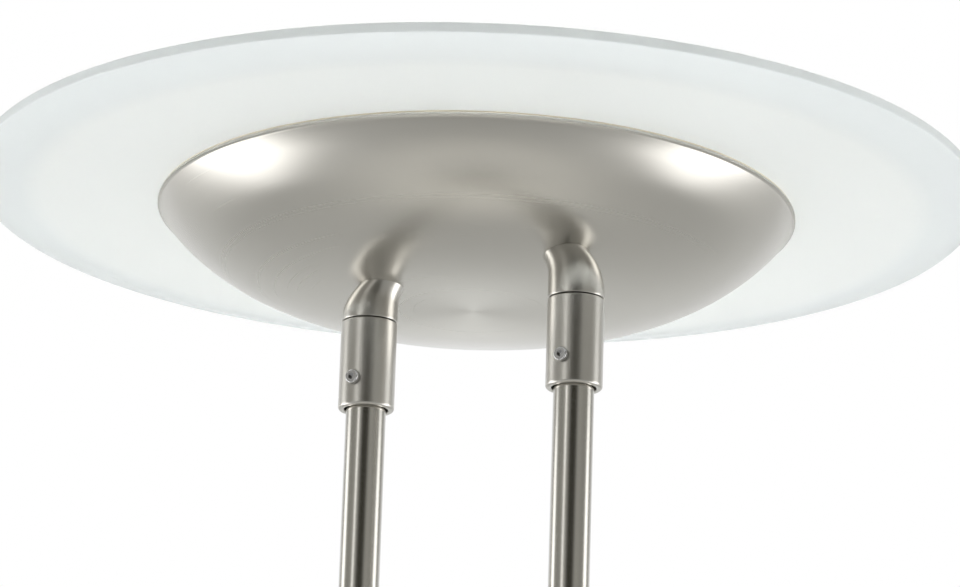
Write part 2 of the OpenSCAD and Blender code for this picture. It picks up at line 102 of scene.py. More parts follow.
LEFT_X = middle_of("left_collar").x
RIGHT_X = middle_of("right_collar").x
POLE_Y = middle_of("left_collar").y
POLE_MID_X = (LEFT_X + RIGHT_X) / 2
POLE_R = radius_of("left_pole_upper")
POLE_INNER_R = POLE_R - 1.2 * MM
FIT = 0.05 * MM                                 # gap round a bar in its bore, and half a parting line
NIPPLE_R = 5.05 * MM                            # holes for the nipples, the studs and the inlet bush

COLLAR_R = radius_of("left_collar")
COLLAR_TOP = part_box("left_collar")[1].z
COLLAR_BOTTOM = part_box("left_collar")[0].z
COLLAR_BORE = 8.8 * MM
COLLAR_SOCKET = 9 * MM                          # depth of the socket for the elbow's spigot

SPIGOT_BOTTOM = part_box("left_elbow")[0].z
SPIGOT_R = 6 * MM
SEAM_Z = SPIGOT_BOTTOM + 9.5 * MM               # where an elbow meets its collar
ELBOW_EDGE = 0.45 * MM
ELBOW_SHIFT = 6 * MM                            # of the nipple inwards from the pole's axis
ELBOW_OUTER_BEND = 6.9 * MM                     # how far the outer side leans in at the top
ELBOW_OUTER_POWER = 2.1
ELBOW_INNER_BEND = 2.2 * MM                     # how far the inner side flares at the top

SEAT_R = 3.1 * MM                               # flat seat of a collar's screw
SEAT_DEPTH = 0.4 * MM
M3_R = 1.5 * MM
M3_HOLE_R = 1.55 * MM
M3_HEAD_R = 2.75 * MM

VIEW_TURN = math.radians(27.3)                  # how far right of the lamp's front the camera is
BODY = "stand"
SHARP_ANGLE = math.radians(35)
TINY = 1e-7


# ---- mesh helpers --------------------------------------------------------------------------

def shade(mesh):
    """Smooth faces with the creases kept sharp."""
    mesh.shade_smooth()
    mesh.set_sharp_from_angle(angle=SHARP_ANGLE)


def new_object(name, mesh):
    """Links a new object for a mesh."""
    shade(mesh)
    piece = bpy.data.objects.new(name, mesh)
    bpy.context.scene.collection.objects.link(piece)
    return piece


def from_bmesh(name, bm):
    """Cleans a bmesh and turns it into an object."""
    bmesh.ops.remove_doubles(bm, verts=bm.verts, dist=TINY)
    bmesh.ops.dissolve_degenerate(bm, edges=bm.edges, dist=TINY)
    bmesh.ops.recalc_face_normals(bm, faces=bm.faces)
    mesh = bpy.data.meshes.new(name)
    bm.to_mesh(mesh)
    bm.free()
    return new_object(name, mesh)


def rounded(corners, steps=5):
    """Outline with its corners rounded: each corner is (r, z) or (r, z, radius).

    A point just past each rounding keeps the shading of the straight parts flat.
    """
    most = 0.49                                 # of an edge that one rounding may take
    hold = 1.4                                  # of a rounding's reach, where the extra point is
    outline = []
    count = len(corners)
    for i, corner in enumerate(corners):
        here = Vector(corner[:2])
        size = corner[2] if len(corner) > 2 else 0
        before = Vector(corners[i - 1][:2]) - here
        after = Vector(corners[(i + 1) % count][:2]) - here
        if size <= 0 or before.length == 0 or after.length == 0:
            outline.append((here.x, here.y))
            continue
        half = before.angle(after) / 2
        size = min(size, math.tan(half) * min(before.length, after.length) * most)
        reach = size / math.tan(half)
        a = here + before.normalized() * reach
        b = here + after.normalized() * reach
        inwards = (before.normalized() + after.normalized()).normalized()
        centre = here + inwards * (size / math.sin(half))
        if reach * hold < 0.5 * before.length:
            outline.append(tuple(here + before.normalized() * reach * hold))
        for k in range(steps + 1):
            p = a.lerp(b, k / steps) - centre
            p = centre + p.normalized() * size
            outline.append((p.x, p.y))
        if reach * hold < 0.5 * after.length:
            outline.append(tuple(here + after.normalized() * reach * hold))
    return outline


def lathe(name, outline, centre=(0, 0), segments=96):
    """Turns a closed outline of (r, z) points round a vertical axis through `centre`."""
    bm = bmesh.new()
    rings = []
    for r, z in outline:
        if r < TINY:
            rings.append([bm.verts.new((centre[0], centre[1], z))] * segments)
            continue
        rings.append([
            bm.verts.new((
                centre[0] + r * math.cos(2 * math.pi * k / segments),
                centre[1] + r * math.sin(2 * math.pi * k / segments),
                z,
            ))
            for k in range(segments)
        ])
    for i, ring in enumerate(rings):
        following = rings[(i + 1) % len(rings)]
        for k in range(segments):
            n = (k + 1) % segments
            corners = []
            for v in (ring[k], ring[n], following[n], following[k]):
                if v not in corners:
                    corners.append(v)
            if len(corners) > 2:
                bm.faces.new(corners)
    return from_bmesh(name, bm)


def ring_points(x, y, r, z, segments):
    """Points of a level circle."""
    turns = [2 * math.pi * k / segments for k in range(segments)]
    return [(x + r * math.cos(a), y + r * math.sin(a), z) for a in turns]


def evenly_round(radius, first, count):
    """Points (x, y) spaced evenly on a circle, the first one at `first` degrees."""
    turns = [math.radians(first + 360 / count * k) for k in range(count)]
    return [(radius * math.cos(a), radius * math.sin(a)) for a in turns]


def loft(name, loops):
    """Skin over closed loops of equal point counts, with both ends capped."""
    bm = bmesh.new()
    rings = [[bm.verts.new(p) for p in loop] for loop in loops]
    for low_ring, high_ring in zip(rings, rings[1:]):
        for k in range(len(low_ring)):
            n = (k + 1) % len(low_ring)
            bm.faces.new((low_ring[k], low_ring[n], high_ring[n], high_ring[k]))
    bm.faces.new(rings[0])
    bm.faces.new(rings[-1])
    return from_bmesh(name, bm)


def point_along(piece, at, towards):
    """Turns a piece made along +Z so that it points another way, and moves it."""
    turn = Vector(towards).to_track_quat("Z", "Y").to_matrix().to_4x4()
    piece.data.transform(Matrix.Translation(at) @ turn)
    return piece


def cylinder(name, radius, start, end, segments=48):
    """Plain round bar from `start` to `end`, used as a cutter."""
    start, end = Vector(start), Vector(end)
    bm = bmesh.new()
    bmesh.ops.create_cone(
        bm, cap_ends=True, segments=segments, radius1=radius, radius2=radius,
        depth=(end - start).length,
    )
    turn = (end - start).to_track_quat("Z", "Y").to_matrix().to_4x4()
    bm.transform(Matrix.Translation((start + end) / 2) @ turn)
    return from_bmesh(name, bm)


def cut(piece, *cutters):
    """Subtracts the cutters from a piece, for good, and removes them."""
    for cutter in cutters:
        change = piece.modifiers.new("cut", "BOOLEAN")
        change.operation = "DIFFERENCE"
        change.solver = "EXACT"
        change.object = cutter
        bake(piece)
        bpy.data.objects.remove(cutter)


def bake(piece):
    """Applies every modifier of a piece to its mesh."""
    graph = bpy.context.evaluated_depsgraph_get()
    mesh = bpy.data.meshes.new_from_object(piece.evaluated_get(graph))
    old = piece.data
    piece.modifiers.clear()
    piece.data = mesh
    bpy.data.meshes.remove(old)
    shade(mesh)


def finish_piece(piece, material, slot, *nodes, body=BODY):
    """Gives a piece its material and its body, and hides the CAD nodes it stands for."""
    piece.data.materials.clear()
    piece.data.materials.append(material)
    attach(piece, body)
    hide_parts(*nodes)
    return piece


# ---- materials -----------------------------------------------------------------------------

class Shader:
    """Short way to build a node material."""

    def __init__(self, name, color, roughness, metallic=0.0):
        self.material = bpy.data.materials.new(name)
        self.material.use_nodes = True
        self.tree = self.material.node_tree
        self.tree.nodes.clear()
        self.bsdf = self.node("ShaderNodeBsdfPrincipled")
        output = self.node("ShaderNodeOutputMaterial")
        self.link(self.bsdf, "BSDF", output, "Surface")
        self.set("Base Color", (*color, 1))
        self.set("Roughness", roughness)
        self.set("Metallic", metallic)

    def node(self, kind, **values):
        """New node, with some of its inputs or settings."""
        made = self.tree.nodes.new(kind)
        for key, value in values.items():
            if key in made.inputs:
                made.inputs[key].default_value = value
            else:
                setattr(made, key, value)
        return made

    def link(self, source, output, target, socket):
        self.tree.links.new(source.outputs[output], target.inputs[socket])

    def set(self, socket, value):
        self.bsdf.inputs[socket].default_value = value

    def noise(self, vector, output, scale, detail=3.0):
        made = self.node("ShaderNodeTexNoise", Scale=scale, Detail=detail, Roughness=0.5)
        self.link(vector, output, made, "Vector")
        return made

    def ramp(self, source, output, stops):
        """Colour ramp: stops are (position, colour)."""
        made = self.node("ShaderNodeValToRGB")
        elements = made.color_ramp.elements
        while len(elements) < len(stops):
            elements.new(0.5)
        for element, (position, value) in zip(elements, stops):
            element.position = position
            element.color = (*value, 1)
        self.link(source, output, made, "Fac")
        return made

    def spread(self, source, output, low, high, socket):
        """Maps a 0 to 1 value to low..high on a socket of the shader."""
        scale = self.node("ShaderNodeMapRange")
        scale.inputs["To Min"].default_value = low
        scale.inputs["To Max"].default_value = high
        self.link(source, output, scale, "Value")
        self.link(scale, "Result", self.bsdf, socket)

    def bump(self, source, output, strength, distance):
        made = self.node("ShaderNodeBump", Strength=strength, Distance=distance)
        self.link(source, output, made, "Height")
        self.link(made, "Normal", self.bsdf, "Normal")

    def split(self, source, output):
        """The separate coordinates of a vector, and its distance from the vertical axis."""
        parts = self.node("ShaderNodeSeparateXYZ")
        self.link(source, output, parts, "Vector")
        flat = self.node("ShaderNodeCombineXYZ")
        self.link(parts, "X", flat, "X")
        self.link(parts, "Y", flat, "Y")
        reach = self.node("ShaderNodeVectorMath", operation="LENGTH")
        self.link(flat, "Vector", reach, 0)
        return parts, reach


def turned_metal(name, color, roughness, anisotropy, axis_xy=(0.0, 0.0), brush=0.006):
    """Satin metal whose brush lines run round a vertical axis."""
    line_scale = 1300
    patch_scale = 9
    patch_share = 0.3
    unevenness = 0.03
    line_depth = 0.00001
    m = Shader(name, color, roughness, metallic=1.0)
    m.set("Anisotropic", anisotropy)
    tangent = m.node("ShaderNodeTangent", direction_type="RADIAL", axis="Z")
    m.link(tangent, "Tangent", m.bsdf, "Tangent")
    place = m.node("ShaderNodeTexCoord")
    shift = m.node("ShaderNodeMapping")
    shift.inputs["Location"].default_value = (-axis_xy[0], -axis_xy[1], 0)
    m.link(place, "Object", shift, "Vector")
    parts, reach = m.split(shift, "Vector")
    lines = m.node("ShaderNodeCombineXYZ")
    m.link(reach, "Value", lines, "X")
    m.link(parts, "Z", lines, "Y")
    fine = m.noise(lines, "Vector", line_scale, detail=1.5)
    broad = m.noise(shift, "Vector", patch_scale, detail=2)
    mixed = m.node("ShaderNodeMath", operation="MULTIPLY_ADD")
    mixed.inputs[1].default_value = patch_share
    m.link(broad, "Fac", mixed, 0)
    m.link(fine, "Fac", mixed, 2)
    m.spread(mixed, "Value", roughness - unevenness, roughness + unevenness, "Roughness")
    m.bump(fine, "Fac", brush, line_depth)
    return m.material


def plain(
    name, color, roughness, metallic=0.0, grain=0.0, grain_scale=900, spread=0.05, tint=0.05
):
    """Moulded, painted or cast surface with a fine grain and slight unevenness."""
    patch_scale = 60
    grain_depth = 0.00008
    m = Shader(name, color, roughness, metallic)
    place = m.node("ShaderNodeTexCoord")
    patches = m.noise(place, "Object", patch_scale)
    m.spread(patches, "Fac", roughness - spread, roughness + spread, "Roughness")
    if tint:
        darker = tuple(c * (1 - tint) for c in color)
        lighter = tuple(min(1, c * (1 + tint)) for c in color)
        tone = m.ramp(patches, "Fac", [(0.3, darker), (0.7, lighter)])
        m.link(tone, "Color", m.bsdf, "Base Color")
    if grain:
        fine = m.noise(place, "Object", grain_scale)
        m.bump(fine, "Fac", grain, grain_depth)
    return m.material


def frosted_glass():
    """Sand-blasted glass, painted darker and cooler in its raised outer band: painted shade for the
    band's tilt.
    """
    flat_tone = (0.955, 0.975, 0.968)
    # the band's darker, cooler tone is painted shade standing in for how light falls on the tilted
    # band
    band_shade_tone = (0.885, 0.915, 0.92)
    smoothest, roughest = 0.5, 0.6
    grain_scale = 1800
    grain_strength = 0.08
    grain_depth = 0.00003
    m = Shader("frosted_glass", flat_tone, smoothest)
    m.set("IOR", 1.5)
    m.set("Transmission Weight", 0.73)
    place = m.node("ShaderNodeTexCoord")
    _, reach = m.split(place, "Object")
    # mask of the raised outer band, where the painted shade goes
    band = m.node("ShaderNodeMapRange")
    band.inputs["From Min"].default_value = GLASS_FLAT_R - 4 * MM
    band.inputs["From Max"].default_value = GLASS_FLAT_R + 5 * MM
    m.link(reach, "Value", band, "Value")
    tone = m.ramp(band, "Result", [(0.0, flat_tone), (1.0, band_shade_tone)])
    m.link(tone, "Color", m.bsdf, "Base Color")
    grain = m.noise(place, "Object", grain_scale, detail=2)
    m.bump(grain, "Fac", grain_strength, grain_depth)
    m.spread(grain, "Fac", smoothest, roughest, "Roughness")
    return m.material


NICKEL = (0.60, 0.583, 0.545)

BOWL_METAL = turned_metal("bowl_nickel", NICKEL, roughness=0.25, anisotropy=0.75, brush=0.002)
LEFT_COLLAR_METAL = turned_metal("left_collar_nickel", NICKEL, 0.3, 0.3, (LEFT_X, POLE_Y))
RIGHT_COLLAR_METAL = turned_metal("right_collar_nickel", NICKEL, 0.3, 0.3, (RIGHT_X, POLE_Y))
LEFT_METAL = turned_metal("left_pole_nickel", NICKEL, 0.2, 0.5, (LEFT_X, POLE_Y))
RIGHT_METAL = turned_metal("right_pole_nickel", NICKEL, 0.2, 0.5, (RIGHT_X, POLE_Y))
CAST_NICKEL = turned_metal("cast_nickel", NICKEL, roughness=0.3, anisotropy=0.0, brush=0.003)
KNOB_METAL = turned_metal("knob_nickel", NICKEL, roughness=0.22, anisotropy=0.0)
FROSTED = frosted_glass()
STEEL = plain("steel", (0.66, 0.66, 0.67), 0.2, metallic=1.0)
ALUMINIUM = plain("aluminium", (0.78, 0.79, 0.80), 0.38, metallic=1.0)
SILICONE = plain("silicone", (0.86, 0.80, 0.66), 0.55)
WHITE_PLASTIC = plain("white_plastic", (0.85, 0.85, 0.83), 0.45, grain=0.15)
WHITE_COATING = plain("white_coating", (0.9, 0.9, 0.88), 0.6, grain=0.1)
OPAL = plain("opal_acrylic", (0.92, 0.92, 0.9), 0.4)
LED_YELLOW = plain("led_yellow", (0.9, 0.68, 0.2), 0.3)
CAST_IRON = plain("cast_iron", (0.05, 0.05, 0.055), 0.7, metallic=0.3, grain=0.5, grain_scale=400)
BLACK_STEEL = plain("black_steel", (0.03, 0.03, 0.032), 0.5, grain=0.2)
BLACK_RUBBER = plain("black_rubber", (0.02, 0.02, 0.02), 0.75, grain=0.3)
CABLE_SHEATH = plain("cable_sheath", (0.025, 0.025, 0.025), 0.5, grain=0.1)
BLACK_PLASTIC = plain("black_plastic", (0.025, 0.025, 0.025), 0.5, grain=0.2)
CIRCUIT_BOARD = plain("circuit_board", (0.02, 0.16, 0.06), 0.35)

SLOT_MATERIALS = {
    "satin_nickel": CAST_NICKEL, "frosted_glass": FROSTED, "silicone": SILICONE, "steel": STEEL,
    "aluminium": ALUMINIUM, "white_plastic": WHITE_PLASTIC, "white_coating": WHITE_COATING,
    "led_yellow": LED_YELLOW, "opal_acrylic": OPAL, "cast_iron": CAST_IRON,
    "black_steel": BLACK_STEEL, "black_rubber": BLACK_RUBBER, "cable_sheath": CABLE_SHEATH,
    "black_plastic": BLACK_PLASTIC, "circuit_board": CIRCUIT_BOARD,
}


CAD_SHARP_ANGLE = math.radians(30)


def dress_cad_nodes():
    """Gives every CAD node the procedural material of its slot."""
    for entry in frame["record"]["subparts"]:
        node = frame["nodes"][entry["node"]]
        material = SLOT_MATERIALS[entry["material_slot"]]
        if not node.material_slots:
            node.data.materials.append(material)
        for holder in node.material_slots:
            holder.material = material
        node.data.shade_smooth()
        node.data.set_sharp_from_angle(angle=CAD_SHARP_ANGLE)


# ---- head ----------------------------------------------------------------------------------

def bowl_drop(r):
    """Height of the bowl's skin below its lip at radius r."""
    u = min(1.0, r / BOWL_R)
    return BOWL_H * (1 - u ** BOWL_BOTTOM_POWER) ** (1 / BOWL_SIDE_POWER)


def bowl_outline(grow, steps):
    """Points of the bowl's skin from the rim down to the axis."""
    points = []
    for i in range(steps + 1):
        a = math.pi / 2 * i / steps
        c, s = math.cos(a), math.sin(a)
        r = (BOWL_R + grow) * max(c, 0.0) ** (2 / BOWL_BOTTOM_POWER)
        z = BOWL_LIP_Z - (BOWL_H + grow) * s ** (2 / BOWL_SIDE_POWER)
        points.append((0.0 if i == steps else r, z))
    return points


def make_bowl():
    """Spun bowl with a small rolled edge, an inward lip and its holes."""
    steps = 90
    lip_edge = 0.5 * MM
    rim_edge = 0.6 * MM
    outer_top = BOWL_LIP_Z - 1.4 * MM
    under_lip = BOWL_LIP_Z - BOWL_T
    inner_top = under_lip - 0.3 * MM
    outer = [p for p in bowl_outline(0, steps) if p[1] < outer_top]
    inner = [p for p in reversed(bowl_outline(-BOWL_T, steps)) if p[1] < inner_top]
    edge = rounded([
        (BOWL_R - BOWL_T - 0.4 * MM, under_lip),
        (BOWL_LIP_INNER_R, under_lip, lip_edge),
        (BOWL_LIP_INNER_R, BOWL_LIP_Z, lip_edge),
        (BOWL_R, BOWL_LIP_Z, rim_edge),
        (BOWL_R, under_lip),
    ])
    bowl = lathe("bowl", outer + inner + edge, segments=256)
    hole_low = BOWL_LIP_Z - 70 * MM
    hole_high = BOWL_LIP_Z - 20 * MM
    holes = [
        cylinder("hole", NIPPLE_R, (x, POLE_Y, hole_low), (x, POLE_Y, hole_high))
        for x in (LEFT_X + ELBOW_SHIFT, RIGHT_X - ELBOW_SHIFT)
    ]
    cut(bowl, *holes)
    return finish_piece(bowl, BOWL_METAL, "satin_nickel", "bowl_shell")


def make_glass():
    """Frosted ring with a coved outer band and ground edges."""
    steps = 24
    hold_r = 150 * MM                           # a loop here keeps the flat part's shading even
    inner_edge = 0.6 * MM
    ground = 1.3 * MM
    band = GLASS_R - GLASS_FLAT_R
    cove = []
    for i in range(steps + 1):
        rise = GLASS_RISE * (1 - math.cos(math.pi / 2 * i / steps))
        cove.append((GLASS_FLAT_R + band * i / steps, GLASS_Z + rise))
    rim_r, rim_z = cove.pop()
    outline = rounded([
        (GLASS_INNER_R, GLASS_Z, inner_edge),
        (hold_r, GLASS_Z),
        *cove,
        (rim_r, rim_z, ground),
        (rim_r, rim_z + GLASS_T, ground),
        *[(r, z + GLASS_T) for r, z in reversed(cove)],
        (hold_r, GLASS_Z + GLASS_T),
        (GLASS_INNER_R, GLASS_Z + GLASS_T, inner_edge),
    ])
    glass = lathe("glass_ring", outline, segments=320)
    return finish_piece(glass, FROSTED, "frosted_glass", "glass_shade", body="glass")


def make_gasket():
    """Flat silicone ring with soft edges."""
    low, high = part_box("glass_gasket")
    r = radius_of("glass_gasket")
    inner_r = r - GASKET_W
    edge = 0.25 * MM
    outline = rounded([
        (inner_r, low.z, edge), (r, low.z, edge), (r, high.z, edge), (inner_r, high.z, edge),
    ])
    ring = lathe("gasket", outline, segments=256)
    return finish_piece(ring, SILICONE, "silicone", "glass_gasket")


def elbow_foot(x, segments):
    """Loops of an elbow's spigot and of the rounded edge that sits on the collar."""
    chamfer = 0.5 * MM
    edge_steps = 5
    loops = [
        ring_points(x, POLE_Y, SPIGOT_R - chamfer, SPIGOT_BOTTOM, segments),
        ring_points(x, POLE_Y, SPIGOT_R, SPIGOT_BOTTOM + chamfer, segments),
        ring_points(x, POLE_Y, SPIGOT_R, SEAM_Z, segments),
    ]
    for k in range(edge_steps + 1):
        a = math.pi / 2 * k / edge_steps
        r = COLLAR_R - ELBOW_EDGE + ELBOW_EDGE * math.sin(a)
        loops.append(ring_points(x, POLE_Y, r, SEAM_Z + ELBOW_EDGE * (1 - math.cos(a)), segments))
    return loops


def elbow_neck(x, lean, segments):
    """Loops that lean inwards and end on the bowl's skin."""
    steps = 32
    flare_start = 0.5
    gap = 0.03 * MM
    start = SEAM_Z + ELBOW_EDGE
    loops = []
    for i in range(1, steps + 1):
        t = i / steps
        flare = max(0, (t - flare_start) / (1 - flare_start)) ** 2
        outer = COLLAR_R - ELBOW_OUTER_BEND * t ** ELBOW_OUTER_POWER
        inner = COLLAR_R + ELBOW_INNER_BEND * flare
        r = (outer + inner) / 2
        shift = (inner - outer) / 2 / math.cos(VIEW_TURN)
        loop = []
        for px, py, _ in ring_points(x + lean * shift, POLE_Y, r, 0, segments):
            skin = BOWL_LIP_Z - bowl_drop(math.hypot(px, py)) - gap
            loop.append((px, py, start + (skin - start) * t))
        loops.append(loop)
    return loops


def make_elbow(side, x, lean):
    """Cast elbow: a round foot that leans inwards and flows into the bowl."""
    segments = 72
    cable_bore = 4 * MM
    below = SPIGOT_BOTTOM - 1 * MM
    above = SEAM_Z + 40 * MM
    top_x = x + lean * ELBOW_SHIFT
    elbow = loft(f"{side}_elbow_cast", elbow_foot(x, segments) + elbow_neck(x, lean, segments))
    cut(
        elbow,
        cylinder("bore", cable_bore, (x, POLE_Y, below), (x, POLE_Y, SEAM_Z + 7 * MM)),
        cylinder("bore", NIPPLE_R, (top_x, POLE_Y, SEAM_Z + 6 * MM), (top_x, POLE_Y, above)),
    )
    return finish_piece(elbow, CAST_NICKEL, "satin_nickel", f"{side}_elbow")


def cut_screw_seat(collar, x, screws):
    """Flat seat and threaded hole in the front of a collar, at the height of its screw."""
    z = middle_of(screws).z
    front = POLE_Y - COLLAR_R
    outside = front - 3 * MM
    cut(
        collar,
        cylinder("seat", SEAT_R, (x, front + SEAT_DEPTH, z), (x, outside, z)),
        cylinder("hole", M3_HOLE_R, (x, POLE_Y, z), (x, outside, z)),
    )


def make_collar(side, x, metal):
    """Collar with softened edges, a socket for the spigot on top and the screw's seat."""
    spigot = SPIGOT_R + FIT
    shoulder = COLLAR_TOP - COLLAR_SOCKET
    outline = rounded([
        (COLLAR_BORE, COLLAR_BOTTOM, 0.5 * MM), (COLLAR_R, COLLAR_BOTTOM, 1.1 * MM),
        (COLLAR_R, COLLAR_TOP, 0.35 * MM), (spigot, COLLAR_TOP, 0.2 * MM),
        (spigot, shoulder), (COLLAR_BORE, shoulder),
    ])
    collar = lathe(f"{side}_collar_turned", outline, centre=(x, POLE_Y), segments=128)
    cut_screw_seat(collar, x, "collar_screws")
    return finish_piece(collar, metal, "satin_nickel", f"{side}_collar")


def socket_screw(name, head_r, head_h, shank_r, shank_l, at, towards):
    """Socket-head screw with a rounded head and a hexagonal recess."""
    chamfer = 0.3 * MM
    recess_r = head_r * 0.52
    recess_floor = head_h * 0.42
    outline = rounded([
        (0, -shank_l), (shank_r - chamfer, -shank_l), (shank_r, -shank_l + chamfer), (shank_r, 0),
        (head_r, 0, 0.2 * MM), (head_r, head_h, 0.45 * MM), (0, head_h),
    ])
    screw = lathe(name, outline, segments=64)
    above = head_h + 1 * MM
    cut(screw, cylinder("recess", recess_r, (0, 0, recess_floor), (0, 0, above), segments=6))
    return point_along(screw, at, towards)


def join(name, parts):
    """One object from several."""
    bm = bmesh.new()
    for part in parts:
        bm.from_mesh(part.data)
    mesh = bpy.data.meshes.new(name)
    bm.to_mesh(mesh)
    bm.free()
    for part in parts:
        bpy.data.objects.remove(part)
    return new_object(name, mesh)


def make_collar_screws(node, name):
    """The two screws of a pair of collars."""
    head_h = 2.6 * MM
    shank_l = COLLAR_R - SEAT_DEPTH - POLE_R
    z = middle_of(node).z
    seat = POLE_Y - COLLAR_R + SEAT_DEPTH
    screws = [
        socket_screw(name, M3_HEAD_R, head_h, M3_R, shank_l, (x, seat, z), (0, -1, 0))
        for x in (LEFT_X, RIGHT_X)
    ]
    return finish_piece(join(name, screws), STEEL, "steel", node)


def make_retaining_ring():
    """Stepped ring with soft edges."""
    low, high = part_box("retaining_ring")
    fine_edge = 0.2 * MM
    top_edge = 0.7 * MM
    raised = low.z + 0.4 * MM
    outline = rounded([
        (RING_INNER_R, raised, fine_edge), (RING_STEP_R, raised), (RING_STEP_R, low.z),
        (RING_OUTER_R, low.z, fine_edge), (RING_OUTER_R, high.z, top_edge),
        (RING_INNER_R, high.z, top_edge),
    ])
    ring = lathe("retaining_ring_turned", outline, segments=256)
    return finish_piece(ring, BOWL_METAL, "satin_nickel", "retaining_ring")


# ---- poles ---------------------------------------------------------------------------------

def make_pole_sections():
    """Tube sections with small chamfers, so that the joints show as hairlines."""
    soft = 0.25 * MM
    for side, x, metal in (("left", LEFT_X, LEFT_METAL), ("right", RIGHT_X, RIGHT_METAL)):
        for part in ("lower", "middle", "upper"):
            node = f"{side}_pole_{part}"
            low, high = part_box(node)
            outline = rounded([
                (POLE_INNER_R, low.z, soft), (POLE_R, low.z, soft),
                (POLE_R, high.z, soft), (POLE_INNER_R, high.z, soft),
            ], steps=3)
            tube = lathe(f"{side}_tube_{part}", outline, centre=(x, POLE_Y), segments=96)
            finish_piece(tube, metal, "satin_nickel", node)


def make_foot_collar(side, x, metal):
    """Collar at the foot of a pole, with the screw's seat."""
    low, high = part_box(f"{side}_foot_collar")
    bore = POLE_R + FIT
    outline = rounded([
        (bore, low.z), (COLLAR_R, low.z, 0.3 * MM),
        (COLLAR_R, high.z, 1.1 * MM), (bore, high.z, 0.4 * MM),
    ])
    collar = lathe(f"{side}_foot_collar_turned", outline, centre=(x, POLE_Y), segments=128)
    cut_screw_seat(collar, x, "foot_screws")
    return finish_piece(collar, metal, "satin_nickel", f"{side}_foot_collar")


# ---- dimmer --------------------------------------------------------------------------------

DIMMER_LOW, DIMMER_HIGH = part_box("dimmer_front")
DIMMER_Z = middle_of("dimmer_shaft").z
DIMMER_HALF = POLE_Y - DIMMER_LOW.y
DIMMER_W = DIMMER_HIGH.x - DIMMER_LOW.x
DIMMER_H = DIMMER_HIGH.z - DIMMER_LOW.z
DIMMER_CORNER = 6 * MM
DIMMER_WALL = 2.2 * MM
DIMMER_EDGE = 1.4 * MM
DIMMER_SEAM = 0.3 * MM
POLE_BLOCK = 26 * MM                            # solid part of the case round each pole
CASE_SCREW_X = 12.5 * MM                        # of a case screw outwards from its pole
CASE_SCREW_SEAT = 12 * MM                       # of its head behind the poles' axes
KNOB_R = radius_of("dimmer_knob")
KNOB_BACK = POLE_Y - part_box("dimmer_knob")[1].y
KNOB_FRONT = POLE_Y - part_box("dimmer_knob")[0].y
SHAFT_R = 3 * MM
SHAFT_END = POLE_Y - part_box("dimmer_shaft")[0].y
SHAFT_START = POLE_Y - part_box("dimmer_shaft")[1].y


def case_loop(y, inset, steps=8):
    """Round-cornered upright rectangle of the dimmer case at depth y."""
    corner = DIMMER_CORNER - inset
    w = DIMMER_W / 2 - DIMMER_CORNER
    h = DIMMER_H / 2 - DIMMER_CORNER
    points = []
    for quarter, (sx, sz) in enumerate(((1, 1), (-1, 1), (-1, -1), (1, -1))):
        for k in range(steps + 1):
            a = math.pi / 2 * (quarter + k / steps)
            x = POLE_MID_X + sx * w + corner * math.cos(a)
            z = DIMMER_Z + sz * h + corner * math.sin(a)
            points.append((x, y, z))
    return points


def box_cutter(low, high):
    """Block between two corners, used as a cutter."""
    bm = bmesh.new()
    bmesh.ops.create_cube(bm, size=1)
    low, high = Vector(low), Vector(high)
    bm.transform(Matrix.Translation((low + high) / 2) @ Matrix.Diagonal((*(high - low), 1)))
    return from_bmesh("block", bm)


def case_loops(side):
    """Loops of half a dimmer case from its parting line to its soft outer edge."""
    edge_steps = 6
    hold = 1.5                                  # of the edge: loops that keep the faces' shading flat
    split = POLE_Y + side * FIT
    outer = POLE_Y + side * DIMMER_HALF
    loops = [
        case_loop(split, DIMMER_SEAM),
        case_loop(split + side * DIMMER_SEAM, 0),
        case_loop(split + side * 2 * DIMMER_SEAM, 0),
        case_loop(outer - side * DIMMER_EDGE * hold, 0),
    ]
    for k in range(edge_steps + 1):
        a = math.pi / 2 * k / edge_steps
        y = outer - side * DIMMER_EDGE * (1 - math.sin(a))
        loops.append(case_loop(y, DIMMER_EDGE * (1 - math.cos(a))))
    loops.append(case_loop(outer, DIMMER_EDGE * hold))
    return loops


def case_hollow(side):
    """Cutter for the room between the poles, open at the parting line."""
    room = (RIGHT_X - LEFT_X - POLE_BLOCK) / 2
    tall = DIMMER_H / 2 - DIMMER_WALL
    near, far = sorted((POLE_Y - side * 1 * MM, POLE_Y + side * (DIMMER_HALF - DIMMER_WALL)))
    return box_cutter(
        (POLE_MID_X - room, near, DIMMER_Z - tall), (POLE_MID_X + room, far, DIMMER_Z + tall)
    )


def case_bores(side, x, outwards):
    """Cutters for one pole, its wire hole and the case screw beside it."""
    wire_r = 3.5 * MM
    seat_r = 3 * MM
    inner = x - outwards * 20 * MM
    screw_x = x + outwards * CASE_SCREW_X
    low, high = DIMMER_Z - 40 * MM, DIMMER_Z + 40 * MM
    front, back = POLE_Y - 8 * MM, POLE_Y + 20 * MM
    seat = POLE_Y + CASE_SCREW_SEAT
    cutters = [
        cylinder("bore", POLE_R + FIT, (x, POLE_Y, low), (x, POLE_Y, high), segments=96),
        cylinder("bore", wire_r, (x, POLE_Y, DIMMER_Z), (inner, POLE_Y, DIMMER_Z)),
        cylinder("bore", M3_HOLE_R, (screw_x, front, DIMMER_Z), (screw_x, back, DIMMER_Z)),
    ]
    if side > 0:
        cutters.append(
            cylinder("seat", seat_r, (screw_x, seat, DIMMER_Z), (screw_x, back, DIMMER_Z))
        )
    return cutters


def make_dimmer_half(node, side):
    """Half of the dimmer case: soft edges, a fine parting line, bores for poles and screws."""
    bush_r = 4.5 * MM
    half = loft(f"{node}_shell", case_loops(side))
    cutters = [case_hollow(side)]
    cutters += case_bores(side, LEFT_X, -1)
    cutters += case_bores(side, RIGHT_X, 1)
    if side < 0:
        front = POLE_Y - 20 * MM
        cutters.append(
            cylinder("bush", bush_r, (POLE_MID_X, POLE_Y, DIMMER_Z), (POLE_MID_X, front, DIMMER_Z))
        )
    cut(half, *cutters)
    return finish_piece(half, CAST_NICKEL, "satin_nickel", node)


